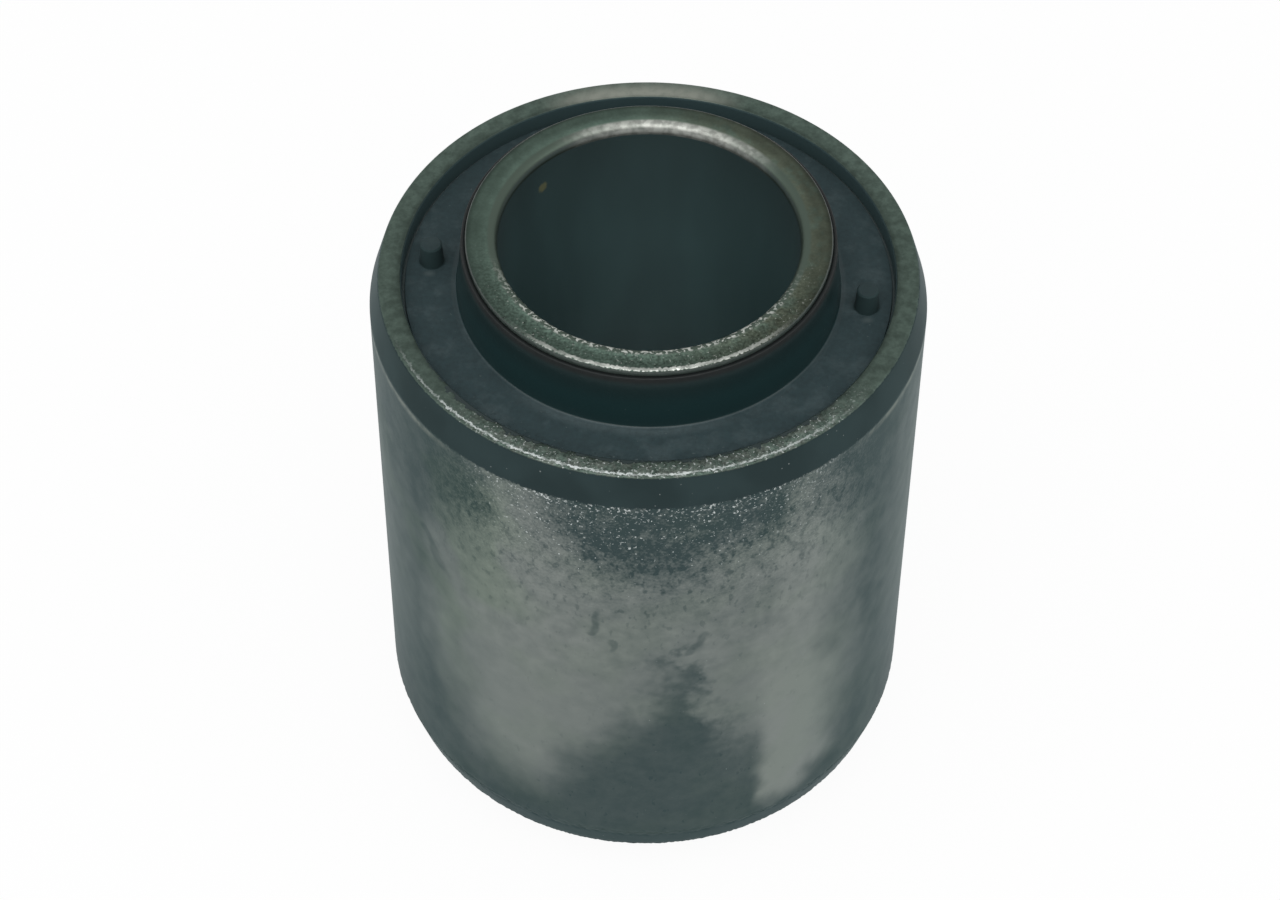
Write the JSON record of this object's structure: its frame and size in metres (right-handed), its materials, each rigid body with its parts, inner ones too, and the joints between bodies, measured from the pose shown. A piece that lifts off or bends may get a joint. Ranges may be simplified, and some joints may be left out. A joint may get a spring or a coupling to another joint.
{
  "type": "rubber metal bush",
  "caption": "Bonded bush: rubber moulded between an outer steel sleeve and a longer inner sleeve that takes a bolt.",
  "frame": {"origin": "centre of the bore at mid-length", "axes": "+Z along the bore axis, towards the end that has the two moulded pegs; +X is free"},
  "size_m": [0.056, 0.056, 0.0724],
  "materials": {
    "outer_sleeve_steel": "dark phosphated steel, satin, granular near the ends",
    "moulded_rubber": "dark blue-grey moulded rubber, satin",
    "inner_sleeve_steel": "dark olive-grey steel, satin, fine grain on the end face"
  },
  "bodies": {
    "root": {"outer_sleeve": "outer_sleeve_steel", "rubber_element": "moulded_rubber", "inner_sleeve": "inner_sleeve_steel"}
  },
  "joints": []
}
